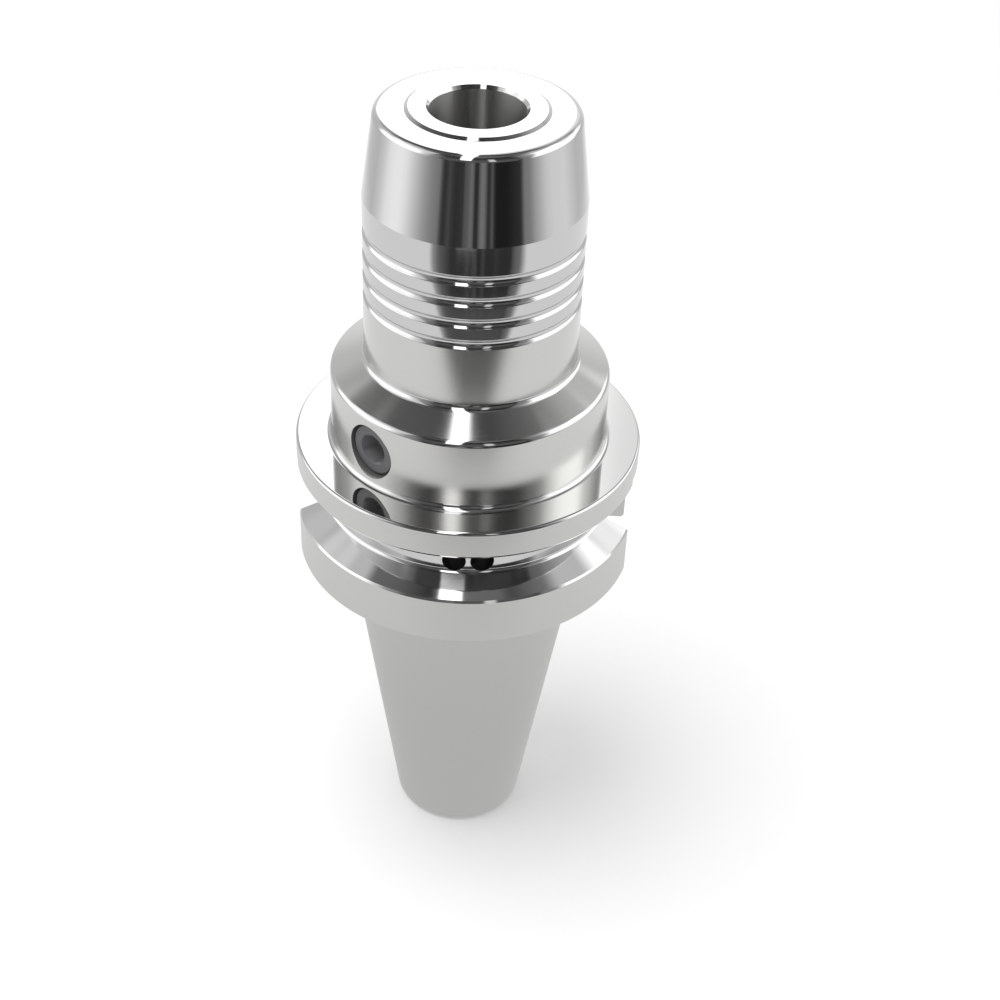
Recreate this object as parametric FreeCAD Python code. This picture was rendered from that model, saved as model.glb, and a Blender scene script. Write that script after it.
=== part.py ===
import FreeCAD, Part
import math
import os

# Hydraulic expansion chuck on a size-40 steep-taper shank, for 16 mm tool shanks
# Millimetres. The origin is on the axis at the gauge line, and +Z points to the nose.
# Azimuths are counted in degrees from -Y towards +X.

# Taper shank
gauge_diameter = 44.45
taper_ratio = 7 / 24
shank_length = 65.4
small_end_chamfer = 1.0
relief_depth = 0.5
relief_height = 1.6

# Thread and pilot for the pull stud, the thread's wall plain at its outer diameter
stud_thread_diameter = 16.0
stud_thread_length = 26.0
stud_pilot_diameter = 17.0
stud_pilot_depth = 8.0
stud_mouth_chamfer = 0.8
coolant_diameter = 10.0
drill_tip_angle = 118.0

# Flange with its gripper groove
flange_gap = 2.0
flange_diameter = 63.0
flange_height = 25.0
flange_rear_chamfer = 0.5
flange_recess_depth = 0.4
flange_recess_margin = 0.2
flange_front_rounding = 0.6
groove_height = 14.6
groove_width = 10.0
groove_root_diameter = 53.0
groove_angle = 60.0
groove_edge_break = 0.3
groove_root_rounding = 1.0

# Drive slots, one on each side of the flange
slot_width = 16.1
slot_floor = 22.6
slot_length = 21.0
slot_rounding = 1.0

# Balance holes, side by side in the gripper groove
balance_hole_count = 2
balance_hole_diameter = 4.2
balance_hole_pitch = 4.94
balance_hole_depth = 7.0
balance_hole_rise = 0.15
balance_azimuth = 4.35

# Collar, and the sloping shoulder between it and the neck
collar_diameter = 50.0
collar_height = 13.78
collar_base_fillet = 1.0
collar_edge_rounding = 1.3
shoulder_angle = 28.0
shoulder_fillet = 1.3

# Neck and the damping grooves round it
neck_diameter = 38.0
neck_groove_count = 4
neck_groove_pitch = 4.0
neck_groove_width = 1.8
neck_groove_flank_angle = 40.0
neck_groove_rounding = 1.1
neck_groove_edge_break = 0.12
neck_groove_distance = 6.05

# Conical nose
gauge_length = 90.0
nose_length = 15.4
nose_angle = 7.3
nose_edge_rounding = 1.9

# Expansion sleeve, brazed into the nose, with two oil chambers round it
bore_diameter = 16.0
bore_mouth_chamfer = 0.3
sleeve_floor_rise = 6.2
sleeve_diameter = 21.0
sleeve_ring_diameter = 24.0
sleeve_ring_height = 6.0
sleeve_ring_proud = 0.4
sleeve_ring_chamfer = 0.2
sleeve_membrane = 1.4
sleeve_rear_land = 6.0
sleeve_middle_land = 4.0
sleeve_front_land = 4.0
oil_channel_width = 1.8
oil_passage_margin = 0.15

# Radial pressure bore with the clamp screw and the piston
clamp_azimuth = -40.0
pressure_height = 33.8
clamp_screw_diameter = 9.9
clamp_screw_recess = 1.0
clamp_hole_chamfer = 0.25
clamp_screw_chamfer = 0.5
clamp_socket_width = 5.0
clamp_socket_floor = 2.2
clamp_screw_pitch = 1.0
clamp_turns = 2.5
piston_diameter = 6.9
piston_pin_diameter = 3.8
piston_chamfer = 0.3
seal_length = 1.6
seal_lip_depth = 0.7
seal_lip_width = 0.6
backup_ring_length = 0.8

# Filling hole on the other side of the collar, closed by a ball under a set screw
bleed_azimuth = 140.0
bleed_hole_diameter = 2.4
bleed_hole_end = 15.5
bleed_ball_diameter = 4.0
bleed_screw_diameter = 6.0
bleed_screw_recess = 1.2
bleed_hole_chamfer = 0.3
bleed_screw_chamfer = 0.4
bleed_socket_width = 3.0
bleed_socket_floor = 2.0

# Hollow length adjusting screw below the sleeve, with its sealing ring
adjuster_diameter = 11.9
adjuster_travel = 10.0
adjuster_grip = 6.0
adjuster_gap = 0.4
adjuster_chamfer = 0.8
adjuster_spigot_diameter = 10.4
adjuster_spigot_end = 2.4
adjuster_hole_diameter = 4.2
adjuster_socket_width = 6.0
adjuster_socket_depth = 7.0
adjuster_rear_socket_width = 5.0
adjuster_rear_socket_depth = 5.0
ring_groove_depth = 1.35
ring_groove_width = 2.0

# Clearances on the radius, then gaps along an axis
running_clearance = 0.05
seal_clearance = 0.03
end_clearance = 0.02
stop_gap = 0.3
guide_margin = 0.1
bore_run_out = 1.2

# Length by which a cutter passes the surface it cuts
overshoot = 1.0

# Radii and heights that follow
gauge_radius = gauge_diameter / 2
small_end_z = -shank_length
small_end_radius = gauge_radius - shank_length * taper_ratio / 2
flange_radius = flange_diameter / 2
flange_top_z = flange_gap + flange_height
groove_z = flange_gap + groove_height
groove_root_radius = groove_root_diameter / 2
collar_radius = collar_diameter / 2
collar_corner_z = flange_top_z + collar_height
neck_radius = neck_diameter / 2
shoulder_rise = (collar_radius - neck_radius) * math.tan(math.radians(shoulder_angle))
neck_base_z = collar_corner_z + shoulder_rise
nose_face_z = gauge_length - sleeve_ring_proud
nose_break_z = gauge_length - nose_length
nose_face_radius = neck_radius - (nose_face_z - nose_break_z) * math.tan(math.radians(nose_angle))
sleeve_floor_z = pressure_height + sleeve_floor_rise
sleeve_radius = sleeve_diameter / 2
ring_base_z = gauge_length - sleeve_ring_height
membrane_radius = bore_diameter / 2 + sleeve_membrane

# Pressure bore, as distances from the chuck's axis
passage_radius = oil_channel_width / 2
passage_distance = sleeve_radius - passage_radius - oil_passage_margin
pressure_floor = passage_distance - passage_radius - oil_passage_margin
piston_travel = clamp_turns * clamp_screw_pitch
piston_bore_radius = piston_diameter / 2 + running_clearance
piston_front = passage_distance + passage_radius + stop_gap + piston_travel
seal_back = piston_front + seal_length + backup_ring_length
piston_bore_end = seal_back + guide_margin
piston_back = piston_bore_end + piston_travel + guide_margin
clamp_hole_radius = clamp_screw_diameter / 2 + running_clearance
clamp_screw_inner = piston_back + end_clearance
clamp_screw_outer = collar_radius - clamp_screw_recess

# Filling hole, as distances from the chuck's axis
ball_radius = bleed_ball_diameter / 2
ball_distance = bleed_hole_end + math.sqrt(ball_radius ** 2 - (bleed_hole_diameter / 2) ** 2)
bleed_screw_inner = ball_distance + ball_radius
bleed_screw_outer = collar_radius - bleed_screw_recess

# Adjusting screw, fully down at rest
adjuster_radius = adjuster_diameter / 2
adjuster_top_z = sleeve_floor_z - adjuster_gap
adjuster_shoulder_z = adjuster_top_z - adjuster_travel - adjuster_grip
seal_bore_top_z = adjuster_shoulder_z - stop_gap
seal_bore_radius = adjuster_spigot_diameter / 2 + running_clearance
ring_z = seal_bore_top_z - adjuster_travel - ring_groove_width
adjuster_bottom_z = ring_z - adjuster_spigot_end
seal_bore_bottom_z = adjuster_bottom_z - bore_run_out


def sharp(radius, height):
    return (radius, height, 0, 0)


def rounded(radius, height, rounding):
    return (radius, height, rounding, 0)


def broken(radius, height, chamfer):
    return (radius, height, 0, chamfer)


def outline_face(corners):
    # Closed outline in the XZ plane from corners of radius, height, rounding and chamfer
    points = [FreeCAD.Vector(corner[0], 0, corner[1]) for corner in corners]
    count = len(points)
    edges = []
    ends = []
    for index in range(count):
        here = points[index]
        rounding, chamfer = corners[index][2:]
        back = (points[index - 1] - here).normalize()
        ahead = (points[(index + 1) % count] - here).normalize()
        half_angle = back.getAngle(ahead) / 2
        reach = chamfer + rounding / math.tan(half_angle)
        start = here + back * reach
        end = here + ahead * reach
        ends.append((start, end))
        if rounding > 0:
            centre = here + (back + ahead).normalize() * (rounding / math.sin(half_angle))
            middle = centre + (here - centre).normalize() * rounding
            edges.append((index + 0.5, Part.Arc(start, middle, end).toShape()))
        elif chamfer > 0:
            edges.append((index + 0.5, Part.makeLine(start, end)))
    for index in range(count):
        start = ends[index][1]
        end = ends[(index + 1) % count][0]
        edges.append((index + 1, Part.makeLine(start, end)))
    edges.sort(key=lambda entry: entry[0])
    return Part.Face(Part.Wire([edge for order, edge in edges]))


def turned(corners):
    # Solid turned about the Z axis
    return outline_face(corners).revolve(FreeCAD.Vector(), FreeCAD.Vector(0, 0, 1), 360)


def radial(shape, azimuth, height):
    # Turns a shape built along +Z so that it points outwards at an azimuth and height
    placed = shape.copy()
    placed.rotate(FreeCAD.Vector(), FreeCAD.Vector(1, 0, 0), 90)
    placed.rotate(FreeCAD.Vector(), FreeCAD.Vector(0, 0, 1), azimuth)
    placed.translate(FreeCAD.Vector(0, 0, height))
    return placed


def hexagon(width, height):
    # Hexagonal prism from the origin upwards, width across its flats
    radius = width / math.sqrt(3)
    corners = []
    for step in range(7):
        angle = math.radians(60 * step)
        corners.append(FreeCAD.Vector(radius * math.cos(angle), radius * math.sin(angle), 0))
    return Part.Face(Part.makePolygon(corners)).extrude(FreeCAD.Vector(0, 0, height))


def drilled(radius, depth):
    # Drilled hole from the origin down to a depth at full diameter, with the drill's point
    tip = radius / math.tan(math.radians(drill_tip_angle / 2))
    return turned([sharp(0, 0), sharp(radius, 0), sharp(radius, -depth), sharp(0, -depth - tip)])


def neck_groove_corners():
    # Corners of the round grooves, from the lowest to the highest
    half_width = neck_groove_width / 2
    depth = half_width * math.tan(math.radians(neck_groove_flank_angle))
    corners = []
    for index in range(neck_groove_count):
        upward = neck_groove_count - 1 - index
        middle = nose_break_z - neck_groove_distance - upward * neck_groove_pitch
        corners.append(broken(neck_radius, middle - half_width, neck_groove_edge_break))
        corners.append(rounded(neck_radius - depth, middle, neck_groove_rounding))
        corners.append(broken(neck_radius, middle + half_width, neck_groove_edge_break))
    return corners


def outer_corners():
    # Outside of the body, from the small end to the nose
    flank = (flange_radius - groove_root_radius) * math.tan(math.radians(groove_angle / 2))
    root_half = groove_width / 2 - flank
    chamfer_radius = small_end_radius + small_end_chamfer * taper_ratio / 2
    relief_radius = gauge_radius - relief_depth
    relief_z = flange_gap - relief_height
    recess_radius = gauge_radius + flange_recess_margin
    return [
        sharp(chamfer_radius - small_end_chamfer, small_end_z),
        sharp(chamfer_radius, small_end_z + small_end_chamfer),
        sharp(gauge_radius, 0),
        sharp(relief_radius, relief_z),
        sharp(relief_radius, flange_gap + flange_recess_depth),
        sharp(recess_radius, flange_gap),
        broken(flange_radius, flange_gap, flange_rear_chamfer),
        broken(flange_radius, groove_z - groove_width / 2, groove_edge_break),
        rounded(groove_root_radius, groove_z - root_half, groove_root_rounding),
        rounded(groove_root_radius, groove_z + root_half, groove_root_rounding),
        broken(flange_radius, groove_z + groove_width / 2, groove_edge_break),
        rounded(flange_radius, flange_top_z, flange_front_rounding),
        rounded(collar_radius, flange_top_z, collar_base_fillet),
        rounded(collar_radius, collar_corner_z, collar_edge_rounding),
        rounded(neck_radius, neck_base_z, shoulder_fillet),
        *neck_groove_corners(),
        sharp(neck_radius, nose_break_z),
        rounded(nose_face_radius, nose_face_z, nose_edge_rounding),
    ]


def inner_corners():
    # Stepped bore, from the nose to the small end
    thread_radius = adjuster_radius + running_clearance
    coolant_radius = coolant_diameter / 2
    stud_radius = stud_thread_diameter / 2
    pilot_radius = stud_pilot_diameter / 2
    pilot_z = small_end_z + stud_pilot_depth
    stud_end_z = pilot_z + stud_thread_length
    stud_tip_z = stud_end_z + (stud_radius - coolant_radius) / math.tan(math.radians(drill_tip_angle / 2))
    return [
        sharp(sleeve_ring_diameter / 2, nose_face_z),
        sharp(sleeve_ring_diameter / 2, ring_base_z),
        sharp(sleeve_radius, ring_base_z),
        sharp(sleeve_radius, sleeve_floor_z),
        sharp(thread_radius, sleeve_floor_z),
        sharp(thread_radius, seal_bore_top_z),
        sharp(seal_bore_radius, seal_bore_top_z),
        sharp(seal_bore_radius, seal_bore_bottom_z),
        sharp(coolant_radius, seal_bore_bottom_z),
        sharp(coolant_radius, stud_tip_z),
        sharp(stud_radius, stud_end_z),
        sharp(stud_radius, pilot_z),
        sharp(pilot_radius, pilot_z),
        sharp(pilot_radius, small_end_z + stud_mouth_chamfer),
        sharp(pilot_radius + stud_mouth_chamfer, small_end_z),
    ]


def drive_slot(side):
    # Cutter for one drive slot, its inner corners rounded
    reach = flange_radius - slot_floor + overshoot
    cutter = Part.makeBox(reach, slot_width, slot_length + overshoot)
    cutter.translate(FreeCAD.Vector(slot_floor, -slot_width / 2, flange_gap - overshoot))
    inner = [edge for edge in cutter.Edges if edge.BoundBox.XMax < slot_floor + slot_rounding
             and edge.BoundBox.ZLength > slot_length]
    cutter = cutter.makeFillet(slot_rounding, inner)
    if side < 0:
        cutter.rotate(FreeCAD.Vector(), FreeCAD.Vector(0, 0, 1), 180)
    return cutter


def balance_holes():
    # Parallel holes drilled into the root of the gripper groove
    cutters = []
    start = groove_root_radius + overshoot
    for index in range(balance_hole_count):
        offset = (index - (balance_hole_count - 1) / 2) * balance_hole_pitch
        hole = drilled(balance_hole_diameter / 2, balance_hole_depth + overshoot)
        hole.translate(FreeCAD.Vector(offset, 0, start))
        cutters.append(radial(hole, balance_azimuth, groove_z + balance_hole_rise))
    return cutters


def pressure_bore():
    # Threaded hole for the clamp screw and the piston's smooth bore
    outside = collar_radius + overshoot
    mouth_radius = clamp_hole_radius + clamp_hole_chamfer + overshoot
    bore = turned([
        sharp(0, pressure_floor),
        sharp(piston_bore_radius, pressure_floor),
        sharp(piston_bore_radius, piston_bore_end),
        sharp(clamp_hole_radius, piston_bore_end),
        sharp(clamp_hole_radius, collar_radius - clamp_hole_chamfer),
        sharp(mouth_radius, outside),
        sharp(0, outside),
    ])
    return radial(bore, clamp_azimuth, pressure_height)


def bleed_bore():
    # Filling hole, the ball's seat and the set screw's thread
    outside = collar_radius + overshoot
    screw_radius = bleed_screw_diameter / 2
    mouth_radius = screw_radius + bleed_hole_chamfer + overshoot
    seat_radius = ball_radius + running_clearance
    bore = turned([
        sharp(0, pressure_floor),
        sharp(bleed_hole_diameter / 2, pressure_floor),
        sharp(bleed_hole_diameter / 2, bleed_hole_end),
        sharp(seat_radius, bleed_hole_end),
        sharp(seat_radius, ball_distance),
        sharp(screw_radius, ball_distance),
        sharp(screw_radius, collar_radius - bleed_hole_chamfer),
        sharp(mouth_radius, outside),
        sharp(0, outside),
    ])
    return radial(bore, bleed_azimuth, pressure_height)


def oil_passage(azimuth):
    # Hole along the axis, from the sleeve seat's floor down to a radial bore
    passage = Part.makeCylinder(passage_radius, sleeve_floor_z - pressure_height)
    passage.translate(FreeCAD.Vector(0, -passage_distance, pressure_height))
    passage.rotate(FreeCAD.Vector(), FreeCAD.Vector(0, 0, 1), azimuth)
    return passage


def make_holder_body():
    body = turned(outer_corners() + inner_corners())
    cutters = [drive_slot(1), drive_slot(-1), pressure_bore(), bleed_bore()]
    cutters += balance_holes()
    cutters += [oil_passage(clamp_azimuth), oil_passage(bleed_azimuth)]
    return body.cut(cutters)


def oil_channel(azimuth, bottom, top):
    # Channel across a land of the sleeve, as deep as the chambers
    depth = sleeve_radius - membrane_radius + overshoot
    channel = Part.makeBox(oil_channel_width, depth, top - bottom)
    channel.translate(FreeCAD.Vector(-oil_channel_width / 2, -membrane_radius - depth, bottom))
    channel.rotate(FreeCAD.Vector(), FreeCAD.Vector(0, 0, 1), azimuth)
    return channel


def make_expansion_sleeve():
    lands = sleeve_rear_land + sleeve_middle_land + sleeve_front_land
    chamber_length = (ring_base_z - sleeve_floor_z - lands) / 2
    rear_land_top = sleeve_floor_z + sleeve_rear_land
    middle_land_bottom = rear_land_top + chamber_length
    middle_land_top = middle_land_bottom + sleeve_middle_land
    front_land_bottom = middle_land_top + chamber_length
    bore_radius = bore_diameter / 2
    ring_radius = sleeve_ring_diameter / 2
    sleeve = turned([
        sharp(bore_radius, sleeve_floor_z),
        sharp(sleeve_radius, sleeve_floor_z),
        sharp(sleeve_radius, rear_land_top),
        sharp(membrane_radius, rear_land_top),
        sharp(membrane_radius, middle_land_bottom),
        sharp(sleeve_radius, middle_land_bottom),
        sharp(sleeve_radius, middle_land_top),
        sharp(membrane_radius, middle_land_top),
        sharp(membrane_radius, front_land_bottom),
        sharp(sleeve_radius, front_land_bottom),
        sharp(sleeve_radius, ring_base_z),
        sharp(ring_radius, ring_base_z),
        broken(ring_radius, gauge_length, sleeve_ring_chamfer),
        sharp(bore_radius + bore_mouth_chamfer, gauge_length),
        sharp(bore_radius, gauge_length - bore_mouth_chamfer),
    ])
    channels = []
    for azimuth in (clamp_azimuth, bleed_azimuth):
        channels.append(oil_channel(azimuth, sleeve_floor_z, rear_land_top))
        channels.append(oil_channel(azimuth, middle_land_bottom, middle_land_top))
    return sleeve.cut(channels)


def set_screw(radius, inner, outer, chamfer, socket_width, socket_floor):
    # Set screw along +Z, with a hexagon socket in its outer end
    screw = turned([
        sharp(0, inner),
        sharp(radius - chamfer, inner),
        sharp(radius, inner + chamfer),
        sharp(radius, outer - chamfer),
        sharp(radius - chamfer, outer),
        sharp(0, outer),
    ])
    socket = hexagon(socket_width, outer - inner - socket_floor)
    socket.translate(FreeCAD.Vector(0, 0, inner + socket_floor))
    mouth_radius = socket_width / math.sqrt(3)
    mouth = turned([sharp(0, outer - mouth_radius), sharp(mouth_radius, outer), sharp(0, outer)])
    return screw.cut([socket, mouth])


def make_clamp_screw():
    screw = set_screw(clamp_screw_diameter / 2, clamp_screw_inner, clamp_screw_outer,
                      clamp_screw_chamfer, clamp_socket_width, clamp_socket_floor)
    return radial(screw, clamp_azimuth, pressure_height)


def make_pressure_piston():
    radius = piston_diameter / 2
    pin_radius = piston_pin_diameter / 2
    piston = turned([
        sharp(0, piston_front),
        sharp(pin_radius, piston_front),
        sharp(pin_radius, seal_back),
        sharp(radius, seal_back),
        sharp(radius, piston_back - piston_chamfer),
        sharp(radius - piston_chamfer, piston_back),
        sharp(0, piston_back),
    ])
    return radial(piston, clamp_azimuth, pressure_height)


def make_piston_seal():
    # Cup seal, its hollow side towards the oil
    outer = piston_bore_radius - seal_clearance
    inner = piston_pin_diameter / 2
    middle = (outer + inner) / 2
    seal = turned([
        sharp(inner, piston_front),
        sharp(middle - seal_lip_width / 2, piston_front),
        sharp(middle, piston_front + seal_lip_depth),
        sharp(middle + seal_lip_width / 2, piston_front),
        sharp(outer, piston_front),
        sharp(outer, piston_front + seal_length),
        sharp(inner, piston_front + seal_length),
    ])
    return radial(seal, clamp_azimuth, pressure_height)


def make_piston_backup_ring():
    outer = piston_bore_radius - seal_clearance
    inner = piston_pin_diameter / 2
    ring = Part.makeCylinder(outer, backup_ring_length)
    ring = ring.cut(Part.makeCylinder(inner, backup_ring_length))
    ring.translate(FreeCAD.Vector(0, 0, seal_back - backup_ring_length))
    return radial(ring, clamp_azimuth, pressure_height)


def make_bleed_ball():
    ball = Part.makeSphere(ball_radius)
    ball.translate(FreeCAD.Vector(0, 0, ball_distance))
    return radial(ball, bleed_azimuth, pressure_height)


def make_bleed_screw():
    screw = set_screw(bleed_screw_diameter / 2, bleed_screw_inner, bleed_screw_outer,
                      bleed_screw_chamfer, bleed_socket_width, bleed_socket_floor)
    return radial(screw, bleed_azimuth, pressure_height)


def make_adjusting_screw():
    spigot_radius = adjuster_spigot_diameter / 2
    hole_radius = adjuster_hole_diameter / 2
    groove_radius = spigot_radius - ring_groove_depth
    ring_half = ring_groove_width / 2
    screw = turned([
        sharp(hole_radius, adjuster_bottom_z),
        sharp(spigot_radius - adjuster_chamfer, adjuster_bottom_z),
        sharp(spigot_radius, adjuster_bottom_z + adjuster_chamfer),
        sharp(spigot_radius, ring_z - ring_half),
        sharp(groove_radius, ring_z - ring_half),
        sharp(groove_radius, ring_z + ring_half),
        sharp(spigot_radius, ring_z + ring_half),
        sharp(spigot_radius, adjuster_shoulder_z),
        sharp(adjuster_radius, adjuster_shoulder_z),
        sharp(adjuster_radius, adjuster_top_z - adjuster_chamfer),
        sharp(adjuster_radius - adjuster_chamfer, adjuster_top_z),
        sharp(hole_radius, adjuster_top_z),
    ])
    socket = hexagon(adjuster_socket_width, adjuster_socket_depth)
    socket.translate(FreeCAD.Vector(0, 0, adjuster_top_z - adjuster_socket_depth))
    rear_socket = hexagon(adjuster_rear_socket_width, adjuster_rear_socket_depth)
    rear_socket.translate(FreeCAD.Vector(0, 0, adjuster_bottom_z))
    return screw.cut([socket, rear_socket])


def make_adjusting_screw_ring():
    outer = seal_bore_radius - seal_clearance
    inner = adjuster_spigot_diameter / 2 - ring_groove_depth + seal_clearance
    ring = Part.makeTorus((outer + inner) / 2, (outer - inner) / 2)
    ring.translate(FreeCAD.Vector(0, 0, ring_z))
    return ring


makers = {
    "holder_body": make_holder_body,
    "expansion_sleeve": make_expansion_sleeve,
    "clamp_screw": make_clamp_screw,
    "pressure_piston": make_pressure_piston,
    "piston_seal": make_piston_seal,
    "piston_backup_ring": make_piston_backup_ring,
    "bleed_ball": make_bleed_ball,
    "bleed_screw": make_bleed_screw,
    "adjusting_screw": make_adjusting_screw,
    "adjusting_screw_ring": make_adjusting_screw_ring,
}

os.makedirs("parts", exist_ok=True)
for node, maker in makers.items():
    shape = maker()
    shape.exportStep("parts/" + node + ".step")
    print(node, "solids", len(shape.Solids), "valid", shape.isValid(), "volume", round(shape.Volume, 1))
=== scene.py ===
import math

import bpy
from mathutils import Matrix, Vector


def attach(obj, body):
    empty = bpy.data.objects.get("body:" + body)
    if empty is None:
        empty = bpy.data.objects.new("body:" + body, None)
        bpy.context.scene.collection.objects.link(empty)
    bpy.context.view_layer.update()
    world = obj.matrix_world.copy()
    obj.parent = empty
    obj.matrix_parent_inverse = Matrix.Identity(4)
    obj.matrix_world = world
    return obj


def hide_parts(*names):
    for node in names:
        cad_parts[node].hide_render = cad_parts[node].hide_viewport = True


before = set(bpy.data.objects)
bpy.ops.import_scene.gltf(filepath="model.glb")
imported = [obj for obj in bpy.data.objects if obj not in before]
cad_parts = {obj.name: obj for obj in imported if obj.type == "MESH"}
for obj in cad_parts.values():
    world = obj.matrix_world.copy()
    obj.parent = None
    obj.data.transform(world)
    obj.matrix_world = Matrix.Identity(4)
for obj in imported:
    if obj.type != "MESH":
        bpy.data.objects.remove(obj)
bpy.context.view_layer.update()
print("frame loaded")

mm = 0.001
segments = 256  # faces round every turned surface


def deselectAll():
    if bpy.context.object and bpy.context.object.mode == "EDIT":
        bpy.ops.object.mode_set(mode="OBJECT")
    bpy.ops.object.select_all(action="DESELECT")


def activate(obj):
    deselectAll()
    obj.select_set(True)
    bpy.context.view_layer.objects.active = obj


# Finishes
def mathNode(nodes, links, operation, first, second=None):
    node = nodes.new("ShaderNodeMath")
    node.operation = operation
    for index, value in enumerate((first, second)):
        if value is None:
            continue
        if isinstance(value, (int, float)):
            node.inputs[index].default_value = value
        else:
            links.new(value, node.inputs[index])
    return node.outputs[0]


def makeTurningLines():
    # Fine lines left by turning or grinding, running round the axis
    group = bpy.data.node_groups.new("turningLines", "ShaderNodeTree")
    defaults = (("Lines per mm", 4.0), ("Line height", 0.2), ("Roughness", 0.2), ("Variation", 0.1))
    for name, value in defaults:
        socket = group.interface.new_socket(name, in_out="INPUT", socket_type="NodeSocketFloat")
        socket.default_value = value
    group.interface.new_socket("Roughness", in_out="OUTPUT", socket_type="NodeSocketFloat")
    group.interface.new_socket("Normal", in_out="OUTPUT", socket_type="NodeSocketVector")
    nodes = group.nodes
    links = group.links
    given = nodes.new("NodeGroupInput")
    result = nodes.new("NodeGroupOutput")
    place = nodes.new("ShaderNodeTexCoord")
    split = nodes.new("ShaderNodeSeparateXYZ")
    links.new(place.outputs["Object"], split.inputs[0])
    xx = mathNode(nodes, links, "MULTIPLY", split.outputs[0], split.outputs[0])
    yy = mathNode(nodes, links, "MULTIPLY", split.outputs[1], split.outputs[1])
    radius = mathNode(nodes, links, "SQRT", mathNode(nodes, links, "ADD", xx, yy))
    along = mathNode(nodes, links, "ADD", radius, split.outputs[2])
    along = mathNode(nodes, links, "MULTIPLY", along, 1000.0)
    along = mathNode(nodes, links, "MULTIPLY", along, given.outputs["Lines per mm"])
    lines = nodes.new("ShaderNodeTexNoise")
    lines.noise_dimensions = "1D"
    lines.inputs["Scale"].default_value = 1.0
    lines.inputs["Detail"].default_value = 3.0
    links.new(along, lines.inputs["W"])
    bump = nodes.new("ShaderNodeBump")
    bump.inputs["Distance"].default_value = 0.00001
    links.new(given.outputs["Line height"], bump.inputs["Strength"])
    links.new(lines.outputs[0], bump.inputs["Height"])
    links.new(bump.outputs[0], result.inputs["Normal"])
    blotches = nodes.new("ShaderNodeTexNoise")
    blotches.inputs["Scale"].default_value = 120.0
    blotches.inputs["Detail"].default_value = 2.0
    links.new(place.outputs["Object"], blotches.inputs["Vector"])
    mixed = mathNode(nodes, links, "ADD", lines.outputs[0], blotches.outputs[0])
    shifted = mathNode(nodes, links, "SUBTRACT", mixed, 1.0)
    scaled = mathNode(nodes, links, "MULTIPLY", shifted, given.outputs["Variation"])
    total = mathNode(nodes, links, "ADD", scaled, given.outputs["Roughness"])
    links.new(mathNode(nodes, links, "MAXIMUM", total, 0.02), result.inputs["Roughness"])
    return group


turningLines = makeTurningLines()


def makeSteel(name, color, roughness, linesPerMm, lineHeight, variation, metallic=1.0, brushed=0.0):
    material = bpy.data.materials.new(name)
    material.use_nodes = True
    nodes = material.node_tree.nodes
    links = material.node_tree.links
    shader = nodes["Principled BSDF"]
    shader.inputs["Base Color"].default_value = (*color, 1.0)
    shader.inputs["Metallic"].default_value = metallic
    lines = nodes.new("ShaderNodeGroup")
    lines.node_tree = turningLines
    lines.inputs["Lines per mm"].default_value = linesPerMm
    lines.inputs["Line height"].default_value = lineHeight
    lines.inputs["Roughness"].default_value = roughness
    lines.inputs["Variation"].default_value = variation
    links.new(lines.outputs["Roughness"], shader.inputs["Roughness"])
    links.new(lines.outputs["Normal"], shader.inputs["Normal"])
    if brushed:
        tangent = nodes.new("ShaderNodeTangent")
        tangent.direction_type = "RADIAL"
        tangent.axis = "Z"
        links.new(tangent.outputs[0], shader.inputs["Tangent"])
        shader.inputs["Anisotropic"].default_value = brushed
        shader.inputs["Anisotropic Rotation"].default_value = 0.25
    return material


def makePlain(name, color, roughness, metallic=0.0):
    material = bpy.data.materials.new(name)
    material.use_nodes = True
    nodes = material.node_tree.nodes
    links = material.node_tree.links
    shader = nodes["Principled BSDF"]
    shader.inputs["Metallic"].default_value = metallic
    shader.inputs["Roughness"].default_value = roughness
    place = nodes.new("ShaderNodeTexCoord")
    mottle = nodes.new("ShaderNodeTexNoise")
    mottle.inputs["Scale"].default_value = 600.0
    links.new(place.outputs["Object"], mottle.inputs["Vector"])
    ramp = nodes.new("ShaderNodeValToRGB")
    ramp.color_ramp.elements[0].color = (*[0.85 * value for value in color], 1.0)
    ramp.color_ramp.elements[1].color = (*[min(1.0, 1.1 * value) for value in color], 1.0)
    links.new(mottle.outputs[0], ramp.inputs[0])
    links.new(ramp.outputs[0], shader.inputs["Base Color"])
    return material


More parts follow.
